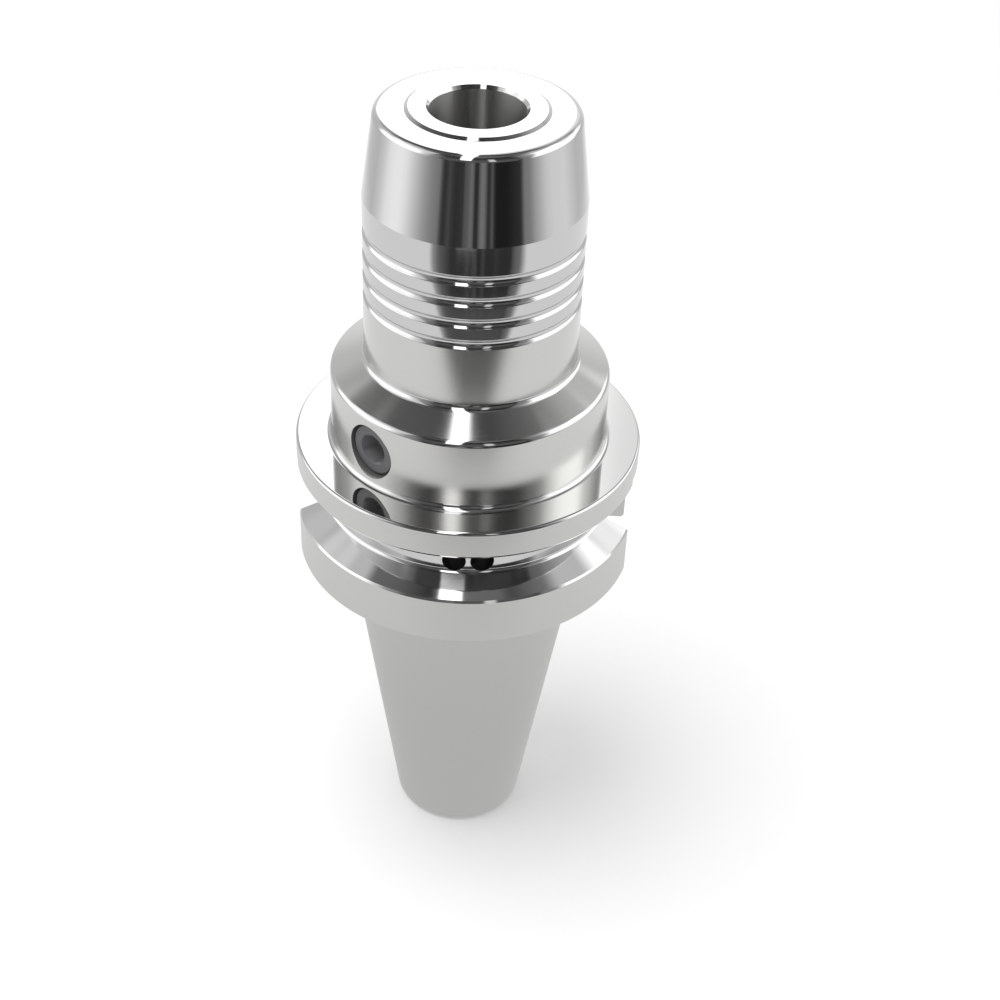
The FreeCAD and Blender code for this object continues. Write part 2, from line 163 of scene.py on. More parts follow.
finishes = {
    "polished": makeSteel("polishedSteel", (0.60, 0.60, 0.60), 0.06, 2.0, 0.03, 0.02),
    "mirror": makeSteel("mirrorFace", (0.60, 0.60, 0.595), 0.05, 3.0, 0.03, 0.02),
    "ground": makeSteel("groundSteel", (0.60, 0.60, 0.585), 0.34, 9.0, 0.35, 0.05),
    "satin": makeSteel("satinNeck", (0.60, 0.60, 0.585), 0.23, 7.0, 0.08, 0.03),
    "neck": makeSteel("softNeck", (0.60, 0.60, 0.585), 0.16, 7.0, 0.1, 0.03),
    "fine": makeSteel("fineTurned", (0.60, 0.60, 0.59), 0.12, 5.0, 0.1, 0.03),
    "milled": makeSteel("milledSlot", (0.58, 0.58, 0.57), 0.2, 2.0, 0.15, 0.04),
    "inside": makeSteel("drilledSteel", (0.35, 0.35, 0.34), 0.35, 3.0, 0.4, 0.1),
    "bore": makeSteel("honedBore", (0.46, 0.46, 0.45), 0.36, 6.0, 0.1, 0.03, 0.97, 1.0),
    # Hole walls are coloured dark: painted shade for the inside of the threaded radial holes and the oil
    # passages
    "dull": makeSteel("paintedShadeHoleWall", (0.16, 0.16, 0.16), 0.45, 3.0, 0.2, 0.05, 0.3),
    "screw": makeSteel("phosphatedScrew", (0.13, 0.13, 0.135), 0.45, 4.0, 0.2, 0.05, 0.25),
    # The socket's walls get a lighter colour than the screw: painted light that offsets the shade inside the
    # socket
    "socket": makeSteel("screwSocketPaintedLight", (0.23, 0.23, 0.235), 0.45, 4.0, 0.2, 0.05, 0.1),
    "blackOxide": makeSteel("blackOxide", (0.12, 0.12, 0.125), 0.32, 4.0, 0.3, 0.08),
    "piston": makeSteel("pistonSteel", (0.5, 0.5, 0.5), 0.2, 5.0, 0.2, 0.04),
    "ball": makeSteel("bearingSteel", (0.6, 0.6, 0.61), 0.05, 3.0, 0.02, 0.02),
    "rubber": makePlain("sealRubber", (0.03, 0.03, 0.03), 0.55),
    "plastic": makePlain("backupPlastic", (0.75, 0.72, 0.65), 0.4),
}
print("finishes made")


# Turned outlines
def sharp(radius, height, finish):
    return (radius, height, 0.0, 0.0, finish)


def rounded(radius, height, rounding, finish, edgeFinish=None):
    return (radius, height, rounding, 0.0, finish, edgeFinish or finish)


def broken(radius, height, chamfer, finish, edgeFinish=None):
    return (radius, height, 0.0, chamfer, finish, edgeFinish or finish)


def outlinePoints(corners, stepAngle=9.0):
    # Points of radius, height and the finish of the band that follows each
    count = len(corners)
    points = []
    for index, corner in enumerate(corners):
        here = Vector(corner[:2])
        rounding, chamfer, finish = corner[2:5]
        if rounding == 0 and chamfer == 0:
            points.append((here.x, here.y, finish))
            continue
        back = (Vector(corners[index - 1][:2]) - here).normalized()
        ahead = (Vector(corners[(index + 1) % count][:2]) - here).normalized()
        half = back.angle(ahead) / 2
        reach = chamfer + rounding / math.tan(half)
        start = here + back * reach
        end = here + ahead * reach
        edgeFinish = corner[5]
        if chamfer > 0:
            points.append((start.x, start.y, edgeFinish))
            points.append((end.x, end.y, finish))
            continue
        centre = here + (back + ahead).normalized() * (rounding / math.sin(half))
        sweep = math.pi - 2 * half
        steps = max(3, round(math.degrees(sweep) / stepAngle))
        first = start - centre
        turn = first.angle_signed(end - centre)
        for step in range(steps + 1):
            angle = -turn * step / steps
            spot = centre + Matrix.Rotation(angle, 2) @ first
            points.append((spot.x, spot.y, finish if step == steps else edgeFinish))
    return points


def turn(name, points, closed=True, around=segments):
    # A ring of edges is pulled along the outline, one band at a time
    deselectAll()
    radius, height, finish = points[0]
    bpy.ops.mesh.primitive_circle_add(vertices=around, radius=max(radius, 0.0001) * mm,
                                      location=(0, 0, height * mm))
    obj = bpy.context.object
    obj.name = name
    bpy.ops.object.transform_apply(location=True, rotation=True, scale=True)
    bpy.ops.object.mode_set(mode="EDIT")
    bpy.ops.mesh.select_all(action="SELECT")
    path = points[1:] + ([points[0]] if closed else [])
    bands = []
    for nextRadius, nextHeight, nextFinish in path:
        bands.append(finish)
        bpy.ops.mesh.extrude_edges_move()
        bpy.ops.transform.translate(value=(0, 0, (nextHeight - height) * mm))
        scale = max(nextRadius, 0.0001) / max(radius, 0.0001)
        if abs(scale - 1) > 1e-9:
            bpy.ops.transform.resize(value=(scale, scale, 1), center_override=(0, 0, nextHeight * mm))
        radius, height, finish = nextRadius, nextHeight, nextFinish
    bpy.ops.object.mode_set(mode="OBJECT")
    names = sorted(set(bands))
    for each in names:
        obj.data.materials.append(finishes[each])
    for index, polygon in enumerate(obj.data.polygons):
        polygon.material_index = names.index(bands[min(index // around, len(bands) - 1)])
    bpy.ops.object.mode_set(mode="EDIT")
    bpy.ops.mesh.select_all(action="SELECT")
    bpy.ops.mesh.remove_doubles(threshold=0.000002)
    bpy.ops.mesh.normals_make_consistent(inside=False)
    bpy.ops.object.mode_set(mode="OBJECT")
    return obj


def placeRadial(obj, azimuth, height):
    # Turns a piece built along +Z so that it points outwards at an azimuth and height
    obj.matrix_world = (Matrix.Translation((0, 0, height * mm))
                        @ Matrix.Rotation(math.radians(azimuth), 4, "Z")
                        @ Matrix.Rotation(math.radians(90), 4, "X"))
    activate(obj)
    bpy.ops.object.transform_apply(location=True, rotation=True, scale=True)


def cutWith(obj, cutters):
    for cutter in cutters:
        activate(obj)
        cut = obj.modifiers.new("cut", "BOOLEAN")
        cut.operation = "DIFFERENCE"
        cut.solver = "EXACT"
        cut.material_mode = "TRANSFER"
        cut.object = cutter
        bpy.ops.object.modifier_apply(modifier=cut.name)
        bpy.data.objects.remove(cutter, do_unlink=True)


def finishShading(obj, angle=22.0):
    activate(obj)
    bpy.ops.object.shade_smooth_by_angle(angle=math.radians(angle), keep_sharp_edges=True)
    weighted = obj.modifiers.new("evenNormals", "WEIGHTED_NORMAL")
    weighted.mode = "FACE_AREA"
    weighted.keep_sharp = True
    bpy.ops.object.modifier_apply(modifier=weighted.name)


def markSharpRings(obj, heights):
    # Keeps the crisp line where two bands meet at a small angle
    activate(obj)
    for edge in obj.data.edges:
        first, second = (obj.data.vertices[i].co for i in edge.vertices)
        if any(abs(first.z - h * mm) < 1e-6 and abs(second.z - h * mm) < 1e-6 for h in heights):
            edge.use_edge_sharp = True


def drillCutter(radius, depth, above, finish="inside"):
    tip = radius / math.tan(math.radians(holder["drillAngle"]))
    return turn("cutter", [(0, above, finish), (radius, above, finish), (radius, -depth, finish),
                           (0, -depth - tip, finish)], closed=False, around=64)


# Body, sizes in millimetres and degrees
holder = {
    "gaugeRadius": 22.225, "taperRatio": 7 / 24, "shankLength": 65.4, "smallEndChamfer": 1.0,
    "reliefDepth": 0.5, "reliefHeight": 1.6, "recessDepth": 0.4, "recessMargin": 0.2,
    "flangeGap": 2.0, "flangeRadius": 31.5, "flangeTop": 27.0, "rearChamfer": 0.5, "frontRounding": 0.6,
    "grooveHeight": 16.6, "grooveWidth": 10.0, "rootRadius": 26.5, "flankAngle": 30.0,
    "grooveEdge": 0.3, "rootRounding": 1.0,
    "slotWidth": 16.1, "slotFloor": 22.6, "slotTop": 23.0, "slotRounding": 1.0,
    "balanceRadius": 2.1, "balancePitch": 4.94, "balanceDepth": 7.0, "balanceHeight": 16.75,
    "balanceAzimuth": 4.35,
    "collarRadius": 25.0, "collarCorner": 40.78, "collarFillet": 1.0, "collarEdge": 1.3,
    "shoulderAngle": 28.0, "shoulderFillet": 1.3,
    "neckRadius": 19.0, "neckGrooves": 4, "neckPitch": 4.0, "neckWidth": 1.8, "neckFlank": 40.0,
    "neckRounding": 1.1, "neckEdge": 0.3, "neckDistance": 6.05,
    "noseBreak": 74.6, "noseFace": 89.6, "noseAngle": 7.3, "noseEdge": 1.35,
    "ringRadius": 12.0, "ringBase": 84.0, "seatRadius": 10.5, "seatFloor": 40.0,
    "adjusterHole": 6.0, "sealTop": 23.3, "sealHole": 5.25, "sealBottom": 7.7,
    "coolantHole": 5.0, "studRadius": 8.0, "studEnd": -31.4, "pilotRadius": 8.5, "pilotEnd": -57.4,
    "pilotChamfer": 0.8, "drillAngle": 59.0,
    # radial holes: radius and distance from the axis at each step, from the floor outwards
    "clampAzimuth": -40.0, "clampHeight": 33.8, "clampMouth": 0.25,
    "clampSteps": ((3.5, 8.4), (3.5, 15.65), (5.0, 15.65)),
    "bleedAzimuth": 140.0, "bleedMouth": 0.3,
    "bleedSteps": ((1.2, 8.4), (1.2, 15.5), (2.05, 15.5), (2.05, 17.1), (3.0, 17.1)),
    "passageRadius": 0.9, "passageDistance": 9.45,
}


def makeBody(size):
    smallRadius = size["gaugeRadius"] - size["shankLength"] * size["taperRatio"] / 2
    chamferRadius = smallRadius + size["smallEndChamfer"] * size["taperRatio"] / 2
    reliefRadius = size["gaugeRadius"] - size["reliefDepth"]
    gap = size["flangeGap"]
    rim = size["flangeRadius"]
    root = size["rootRadius"]
    middle = size["grooveHeight"]
    halfWidth = size["grooveWidth"] / 2
    rootHalf = halfWidth - (rim - root) * math.tan(math.radians(size["flankAngle"]))
    top = size["flangeTop"]
    collar = size["collarRadius"]
    neck = size["neckRadius"]
    neckBase = size["collarCorner"] + (collar - neck) * math.tan(math.radians(size["shoulderAngle"]))
    noseRadius = neck - (size["noseFace"] - size["noseBreak"]) * math.tan(math.radians(size["noseAngle"]))
    corners = [
        sharp(chamferRadius - size["smallEndChamfer"], -size["shankLength"], "fine"),
        sharp(chamferRadius, -size["shankLength"] + size["smallEndChamfer"], "ground"),
        sharp(size["gaugeRadius"], 0, "fine"),
        sharp(reliefRadius, gap - size["reliefHeight"], "fine"),
        sharp(reliefRadius, gap + size["recessDepth"], "fine"),
        sharp(size["gaugeRadius"] + size["recessMargin"], gap, "ground"),
        broken(rim, gap, size["rearChamfer"], "ground", "fine"),
        broken(rim, middle - halfWidth, size["grooveEdge"], "polished", "polished"),
        rounded(root, middle - rootHalf, size["rootRounding"], "polished"),
        rounded(root, middle + rootHalf, size["rootRounding"], "polished"),
        broken(rim, middle + halfWidth, size["grooveEdge"], "ground", "polished"),
        rounded(rim, top, size["frontRounding"], "mirror", "polished"),
        rounded(collar, top, size["collarFillet"], "satin", "polished"),
        rounded(collar, size["collarCorner"], size["collarEdge"], "fine", "polished"),
        rounded(neck, neckBase, size["shoulderFillet"], "neck", "polished"),
    ]
    depth = size["neckWidth"] / 2 * math.tan(math.radians(size["neckFlank"]))
    for index in range(size["neckGrooves"]):
        upward = size["neckGrooves"] - 1 - index
        height = size["noseBreak"] - size["neckDistance"] - upward * size["neckPitch"]
        corners += [
            rounded(neck, height - size["neckWidth"] / 2, size["neckEdge"], "polished"),
            rounded(neck - depth, height, size["neckRounding"], "polished"),
            rounded(neck, height + size["neckWidth"] / 2, size["neckEdge"], "polished"),
        ]
    studStep = size["studRadius"] - size["coolantHole"]
    studTip = size["studEnd"] + studStep / math.tan(math.radians(size["drillAngle"]))
    corners += [
        sharp(neck, size["noseBreak"], "polished"),
        rounded(noseRadius, size["noseFace"], size["noseEdge"], "mirror", "polished"),
        sharp(size["ringRadius"], size["noseFace"], "inside"),
        sharp(size["ringRadius"], size["ringBase"], "inside"),
        sharp(size["seatRadius"], size["ringBase"], "inside"),
        sharp(size["seatRadius"], size["seatFloor"], "inside"),
        sharp(size["adjusterHole"], size["seatFloor"], "inside"),
        sharp(size["adjusterHole"], size["sealTop"], "inside"),
        sharp(size["sealHole"], size["sealTop"], "inside"),
        sharp(size["sealHole"], size["sealBottom"], "inside"),
        sharp(size["coolantHole"], size["sealBottom"], "inside"),
        sharp(size["coolantHole"], studTip, "inside"),
        sharp(size["studRadius"], size["studEnd"], "inside"),
        sharp(size["studRadius"], size["pilotEnd"], "fine"),
        sharp(size["pilotRadius"], size["pilotEnd"], "fine"),
        sharp(size["pilotRadius"], -size["shankLength"] + size["pilotChamfer"], "fine"),
        sharp(size["pilotRadius"] + size["pilotChamfer"], -size["shankLength"], "fine"),
    ]
    body = turn("holderBody", outlinePoints(corners))
    print("body turned,", len(body.data.polygons), "faces")
    cutWith(body, bodyCutters(size))
    print("body cut,", len(body.data.polygons), "faces")
    markSharpRings(body, [size["noseBreak"]])
    finishShading(body)
    return body


def slotCutter(size, side):
    # Box for one drive slot, its two edges beside the slot's floor rounded
    reach = 12.0
    below = 1.0
    tall = size["slotTop"] - below
    deselectAll()
    bpy.ops.mesh.primitive_cube_add(size=1, location=(side * (size["slotFloor"] + reach / 2) * mm, 0,
                                                      (below + tall / 2) * mm))
    slot = bpy.context.object
    slot.scale = (reach * mm, size["slotWidth"] * mm, tall * mm)
    bpy.ops.object.transform_apply(location=True, rotation=True, scale=True)
    slot.data.materials.append(finishes["milled"])
    bpy.ops.object.mode_set(mode="EDIT")
    bpy.ops.mesh.select_mode(type="EDGE")
    bpy.ops.mesh.select_all(action="DESELECT")
    bpy.ops.object.mode_set(mode="OBJECT")
    for edge in slot.data.edges:
        first, second = (slot.data.vertices[i].co for i in edge.vertices)
        upright = abs(first.x - second.x) < 1e-6 and abs(first.y - second.y) < 1e-6
        edge.select = upright and abs(abs(first.x) - size["slotFloor"] * mm) < 1e-5
    bpy.ops.object.mode_set(mode="EDIT")
    bpy.ops.mesh.bevel(offset=size["slotRounding"] * mm, segments=8)
    bpy.ops.object.mode_set(mode="OBJECT")
    return slot


def radialCutter(steps, mouth, rim, azimuth, height):
    # Stepped hole with a chamfered mouth, from outside the rim inwards
    beyond = 1.0
    radius = steps[-1][0]
    outline = [(0, rim + beyond), (radius + mouth + beyond, rim + beyond), (radius, rim - mouth)]
    outline += list(reversed(steps)) + [(0, steps[0][1])]
    # The hole's walls take the dark hole colour, which paints their shade
    outline = [(across, distance, "dull") for across, distance in outline]
    cutter = turn("cutter", outline, closed=False, around=96)
    placeRadial(cutter, azimuth, height)
    return cutter


def passageCutter(size, azimuth):
    # Oil hole along the axis, from the sleeve seat's floor down into a radial hole
    angle = math.radians(azimuth)
    out = size["passageDistance"] * mm
    low, high = size["clampHeight"] * mm, (size["seatFloor"] + 0.5) * mm
    middle = (math.sin(angle) * out, -math.cos(angle) * out, (low + high) / 2)
    deselectAll()
    bpy.ops.mesh.primitive_cylinder_add(vertices=32, radius=size["passageRadius"] * mm,
                                        depth=high - low, location=middle)
    passage = bpy.context.object
    bpy.ops.object.transform_apply(location=True, rotation=True, scale=True)
    # The passage's walls take the dark hole colour, which paints its shade
    passage.data.materials.append(finishes["dull"])
    return passage


def bodyCutters(size):
    cutters = [slotCutter(size, 1), slotCutter(size, -1)]
    for side in (-0.5, 0.5):
        hole = drillCutter(size["balanceRadius"], size["balanceDepth"], 2.0)
        hole.location = (side * size["balancePitch"] * mm, 0, size["rootRadius"] * mm)
        activate(hole)
        bpy.ops.object.transform_apply(location=True, rotation=True, scale=True)
        placeRadial(hole, size["balanceAzimuth"], size["balanceHeight"])
        cutters.append(hole)
    for hole in ("clamp", "bleed"):
        azimuth = size[hole + "Azimuth"]
        cutters.append(radialCutter(size[hole + "Steps"], size[hole + "Mouth"], size["collarRadius"], azimuth,
                                    size["clampHeight"]))
        cutters.append(passageCutter(size, azimuth))
    return cutters


body = makeBody(holder)
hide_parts("holder_body")
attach(body, "holder")
print("body done")


# Thread for the pull stud, sizes in millimetres
studThread = {"radius": 8.02, "depth": 1.07, "pitch": 2.0, "turns": 12, "bottom": -56.6,
              "baseWidth": 1.7, "crestWidth": 0.3, "steps": 64}


def makeThread(size):
    # The ridge's four-sided section is wound upwards along a screw
    deselectAll()
    middle = size["radius"] - size["depth"] / 2
    bpy.ops.mesh.primitive_plane_add(size=1, location=(middle * mm, 0, size["bottom"] * mm),
                                     rotation=(math.pi / 2, 0, 0))
    thread = bpy.context.object
    thread.name = "studThreadRidge"
    thread.scale = (size["depth"] * mm, size["baseWidth"] * mm, 1)
    bpy.ops.object.transform_apply(location=True, rotation=True, scale=True)
    bpy.ops.object.mode_set(mode="EDIT")
    bpy.ops.mesh.select_mode(type="VERT")
    bpy.ops.mesh.select_all(action="DESELECT")
    bpy.ops.object.mode_set(mode="OBJECT")
    for vertex in thread.data.vertices:
        vertex.select = vertex.co.x < middle * mm
    bpy.ops.object.mode_set(mode="EDIT")
    bpy.ops.transform.resize(value=(1, 1, size["crestWidth"] / size["baseWidth"]),
                             center_override=(0, 0, size["bottom"] * mm))
    bpy.ops.object.mode_set(mode="OBJECT")
    wound = thread.modifiers.new("wound", "SCREW")
    wound.axis = "Z"
    wound.steps = size["steps"]
    wound.render_steps = size["steps"]
    wound.iterations = size["turns"]
    wound.screw_offset = size["pitch"] * mm
    activate(thread)
    bpy.ops.object.modifier_apply(modifier=wound.name)
    bpy.ops.object.mode_set(mode="EDIT")
    bpy.ops.mesh.select_all(action="SELECT")
    bpy.ops.mesh.remove_doubles(threshold=0.000002)
    bpy.ops.mesh.normals_make_consistent(inside=False)
    bpy.ops.object.mode_set(mode="OBJECT")
    thread.data.materials.append(finishes["fine"])
    finishShading(thread, 30.0)
    return thread


thread = makeThread(studThread)
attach(thread, "holder")
print("thread done,", len(thread.data.polygons), "faces")


# Sleeve, sizes in millimetres
sleeve = {
    "boreRadius": 8.0, "mouthWidth": 0.45, "mouthDepth": 0.6, "top": 90.0, "floor": 40.0,
    "radius": 10.5, "ringRadius": 12.0, "ringBase": 84.0, "ringWidth": 0.6, "ringDrop": 0.36,
    "membraneRadius": 9.4, "lands": (46.0, 61.0, 65.0, 80.0),
}


def makeSleeve(size):
    lands = size["lands"]
    corners = [
        sharp(size["boreRadius"], size["floor"], "inside"),
        sharp(size["radius"], size["floor"], "inside"),
        sharp(size["radius"], lands[0], "inside"),
        sharp(size["membraneRadius"], lands[0], "inside"),
        sharp(size["membraneRadius"], lands[1], "inside"),
        sharp(size["radius"], lands[1], "inside"),
        sharp(size["radius"], lands[2], "inside"),
        sharp(size["membraneRadius"], lands[2], "inside"),
        sharp(size["membraneRadius"], lands[3], "inside"),
        sharp(size["radius"], lands[3], "inside"),
        sharp(size["radius"], size["ringBase"], "inside"),
        sharp(size["ringRadius"], size["ringBase"], "fine"),
        sharp(size["ringRadius"], size["top"] - size["ringDrop"], "polished"),
        sharp(size["ringRadius"] - size["ringWidth"], size["top"], "mirror"),
        sharp(size["boreRadius"] + size["mouthWidth"], size["top"], "polished"),
        sharp(size["boreRadius"], size["top"] - size["mouthDepth"], "bore"),
    ]
    piece = turn("expansionSleeve", outlinePoints(corners))
    finishShading(piece)
    return piece


sleevePiece = makeSleeve(sleeve)
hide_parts("expansion_sleeve")
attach(sleevePiece, "holder")
print("sleeve done")


# Set screws, sizes in millimetres and degrees
clampScrew = {"radius": 4.95, "inner": 18.27, "outer": 24.0, "chamfer": 0.5, "socket": 5.0,
              "socketFloor": 2.2, "azimuth": -40.0, "height": 33.8}
bleedScrew = {"radius": 3.0, "inner": 19.1, "outer": 23.8, "chamfer": 0.4, "socket": 3.0,
              "socketFloor": 2.0, "azimuth": 140.0, "height": 33.8}


def makeSetScrew(name, size):
    radius, inner, outer, chamfer = size["radius"], size["inner"], size["outer"], size["chamfer"]
    rings = [(0, inner, "screw"), (radius - chamfer, inner, "screw"), (radius, inner + chamfer, "screw"),
             (radius, outer - chamfer, "screw"), (radius - chamfer, outer, "screw"), (0, outer, "screw")]
    screw = turn(name, rings, closed=False, around=96)
    corner = size["socket"] / math.sqrt(3)
    floor = inner + size["socketFloor"]
    # The socket's faces take the lighter socket colour, painted light against the socket's shade
    hexagon = turn("cutter", [(0, outer + 1, "socket"), (corner, outer + 1, "socket"),
                              (corner, floor, "socket"), (0, floor - corner / 2, "socket")],
                   closed=False, around=6)
    mouth = turn("cutter", [(0, outer + 0.5, "screw"), (corner + 0.5, outer + 0.5, "screw"),
                            (0, outer - corner, "screw")], closed=False, around=48)
    cutWith(screw, [hexagon, mouth])
    placeRadial(screw, size["azimuth"], size["height"])
    finishShading(screw, 25.0)
    return screw


setScrews = (("clamp_screw", "clamp_screw", clampScrew), ("bleed_screw", "holder", bleedScrew))
for nodeName, bodyName, size in setScrews:
    screw = makeSetScrew(nodeName.replace("_s", "S"), size)
    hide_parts(nodeName)
    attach(screw, bodyName)
print("screws done")

# Nodes that keep their own form
kept = {"pressure_piston": "piston", "piston_seal": "rubber", "piston_backup_ring": "plastic",
        "bleed_ball": "ball", "adjusting_screw": "blackOxide", "adjusting_screw_ring": "rubber"}
for nodeName, finish in kept.items():
    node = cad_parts[nodeName]
    node.data.materials.clear()
    node.data.materials.append(finishes[finish])

# Camera, in metres and degrees
cameraSize = {"location": (0.013342, -0.254588, 0.206719), "lens": 61.13, "azimuth": 3.0, "elevation": 33.183,
              "roll": 1.810, "yaw": 0.997, "pitch": -4.483}

# Studio, in metres and degrees
studio = {
    "floorHeight": -0.0656, "floorRadius": 4.0, "floorColor": 0.9, "floorLift": 0.08,
    # what the metal sees on the floor, by distance from the axis; the lower level under the chuck is a painted
    # shadow of it
    "nearFloor": 0.30, "farFloor": 0.38, "floorGloss": 0.96, "underShadowGloss": 0.7,
    "wedgeTip": 0.170, "wedgeFull": 0.255, "wedgeMiddle": 4.5, "wedgeLeft": -34, "wedgeRight": 37,
    "calmNear": 0.235, "calmFar": 0.275, "calmShare": 0.8, "calm": 0.12,
    "worldDiffuse": 0.75, "lampHeight": 1.3, "lampSize": 1.0, "lampPower": 9.0,
    # what the metal sees round the horizon, between stripes in front: azimuth and brightness
    "horizon": ((-180, 1.0), (-157, 0.92), (-150, 0.76), (-137, 0.72), (-121, 0.7), (-108, 0.9), (-98, 1.18),
                (-89, 1.28), (-80, 1.29), (-73, 1.17), (-65, 0.9), (-58, 0.69), (-51.6, 0.5), (-45, 0.37),
                (-36, 0.26), (49, 0.27), (55.5, 0.32), (60, 0.48), (67, 0.67), (74, 0.86), (82, 0.96),
                (99, 0.99), (110, 0.86), (122, 0.71), (141, 0.71), (157, 0.92), (180, 1.0)),
    "stripes": ((-36, 0.26), (-33.6, 0.11), (-31.6, 0.055), (-29.7, 0.048), (-25.5, 0.094), (-22.5, 0.06),
                (-19, 0.042), (-12, 0.055), (-10, 0.13), (-7, 0.15), (-4, 0.23), (-2, 0.16), (-0.5, 0.038),
                (2, 0.038), (4, 0.15), (5.7, 0.25), (8.7, 0.24), (10.7, 0.12), (12.5, 0.037), (14.4, 0.063),
                (16.4, 0.14), (18.4, 0.047), (20.4, 0.019), (31, 0.019), (38, 0.032), (44.7, 0.044),
                (46.8, 0.12), (49, 0.27)),
    "nearStripes": ((-44, 0.93), (-40, 0.4), (-36, 0.23), (-33, 0.15), (-26, 0.08), (-22, 0.045),
                    (-10, 0.045), (-6.5, 0.08), (-3, 0.045), (1.5, 0.092), (4.5, 0.03), (6.5, 0.045),
                    (9, 0.08), (12, 0.038), (18, 0.04), (22, 0.055), (26, 0.04), (36, 0.04), (38, 0.1),
                    (41, 0.17), (46, 0.22), (49, 0.5), (53, 0.93)),
    # how that fades towards the zenith: elevation and factor
    "fade": ((-90, 1.0), (30, 1.0), (41, 0.75), (48, 0.5), (53, 0.28), (65, 0.17), (80, 0.08), (90, 0.08)),
    "fadeTilt": 13.0,
    "backGlow": 2.1, "backHalfWidth": 22.0, "backLow": 18.0, "backHigh": 68.0, "backFade": 14.0,
    "backRight": 1.15, "backRightFrom": 3.0, "backRightTo": 7.0,
    "patch": 2.0, "patchLeft": -0.080, "patchRight": 0.002, "patchNear": 0.277, "patchFar": 0.296,
    # bright strip from the front over the top
    "slit": 2.6, "slitFrom": -0.115, "slitTo": 0.012, "slitSoft": 0.01, "slitLean": 0.11,
    "slitWiden": 0.07, "slitBack": 0.3, "slitLow": 22.0,
    # softboxes round the chuck: azimuth from, to and softness, elevation from, to and softness, brightness
    "boxes": ((-38, 46, 4, -3, 30, 6, 0.13), (-38, 46, 4, 30, 50, 4, 0.06), (13, 20, 1.5, 10, 40, 3, 0.9),
              (-114, -52, 5, -4, 54, 5, 0.95), (-120, -106, 3, 34, 46, 3, 0.9),
              (-104, -84, 4, 50, 58, 2, 0.75), (-132, -105, 4, 10, 38, 3, 0.8),
              (-112, -66, 8, 30, 41, 4, 1.7), (-121, -60, 5, -9, 28, 6, 1.8),
              (60, 122, 5, -9, 10, 4, 1.7), (64, 141, 5, 6, 25, 4, 1.8), (66, 132, 4, 6, 31, 4, 1.75),
              (70, 117, 4, 20, 47, 4, 1.75), (80, 116, 5, 31, 42, 4, 2.7), (112, 128, 3, 28, 39, 3, 1.4),
              (84, 110, 5, 49, 60, 3, 0.75), (141, 157, 4, 30, 44, 4, 0.42), (-157, -143, 4, 30, 44, 4, 0.5),
              (-45, 60, 8, 60, 85, 6, 0.2)),
}


def rampNode(nodes, links, value, stops, low, high, top):
    # Straight lines between stops of position and brightness
    node = nodes.new("ShaderNodeValToRGB")
    elements = node.color_ramp.elements
    while len(elements) < len(stops):
        elements.new(0.5)
    for element, (place, level) in zip(elements, stops):
        element.position = (place - low) / (high - low)
        element.color = (level / top, level / top, level / top, 1.0)
    links.new(value, node.inputs[0])
    return mathNode(nodes, links, "MULTIPLY", node.outputs[0], top)


def windowNode(nodes, links, value, low, high, soft):
    # One between two values, falling softly to zero outside them
    parts = []
    for edge, sign in ((low, 1), (high, -1)):
        step = nodes.new("ShaderNodeMapRange")
        step.interpolation_type = "SMOOTHSTEP"
        links.new(value, step.inputs["Value"])
        step.inputs["From Min"].default_value = edge - soft
        step.inputs["From Max"].default_value = edge + soft
        step.inputs["To Min"].default_value = 0.0 if sign > 0 else 1.0
        step.inputs["To Max"].default_value = 1.0 if sign > 0 else 0.0
        parts.append(step.outputs[0])
    return mathNode(nodes, links, "MULTIPLY", parts[0], parts[1])


def azimuthNode(nodes, links, x, y):
    # Degrees from -Y towards +X, turned with the camera
    raw = mathNode(nodes, links, "ARCTAN2", x, mathNode(nodes, links, "MULTIPLY", y, -1.0))
    degrees = mathNode(nodes, links, "MULTIPLY", raw, 180 / math.pi)
    shifted = mathNode(nodes, links, "SUBTRACT", degrees, cameraSize["azimuth"])
    return mathNode(nodes, links, "SUBTRACT", mathNode(nodes, links, "MODULO", mathNode(
        nodes, links, "ADD", shifted, 540.0), 360.0), 180.0)


def frontNode(nodes, links, azimuth, stops):
    # Narrow stripes in front, spread over the whole length of a ramp
    low, high = stops[0][0], stops[-1][0]
    share = mathNode(nodes, links, "DIVIDE", mathNode(nodes, links, "SUBTRACT", azimuth, low), high - low)
    stripes = rampNode(nodes, links, share, stops, low, high, 1.0)
    return stripes, windowNode(nodes, links, azimuth, low, high, 0.2)


def horizonNode(nodes, links, azimuth, size):
    share = mathNode(nodes, links, "DIVIDE", mathNode(nodes, links, "ADD", azimuth, 180.0), 360.0)
    around = rampNode(nodes, links, share, size["horizon"], -180, 180, 2.0)
    stripes, front = frontNode(nodes, links, azimuth, size["stripes"])
    return mixValues(nodes, links, front, around, stripes)


def seenBy(nodes, links):
    # One for what metal and glass see
    path = nodes.new("ShaderNodeLightPath")
    glossy, through = path.outputs["Is Glossy Ray"], path.outputs["Is Transmission Ray"]
    return path.outputs["Is Camera Ray"], mathNode(nodes, links, "MAXIMUM", glossy, through)


def mixValues(nodes, links, share, first, second):
    node = nodes.new("ShaderNodeMix")
    for index, value in ((0, share), (2, first), (3, second)):
        if isinstance(value, (int, float)):
            node.inputs[index].default_value = value
        else:
            links.new(value, node.inputs[index])
    return node.outputs[0]


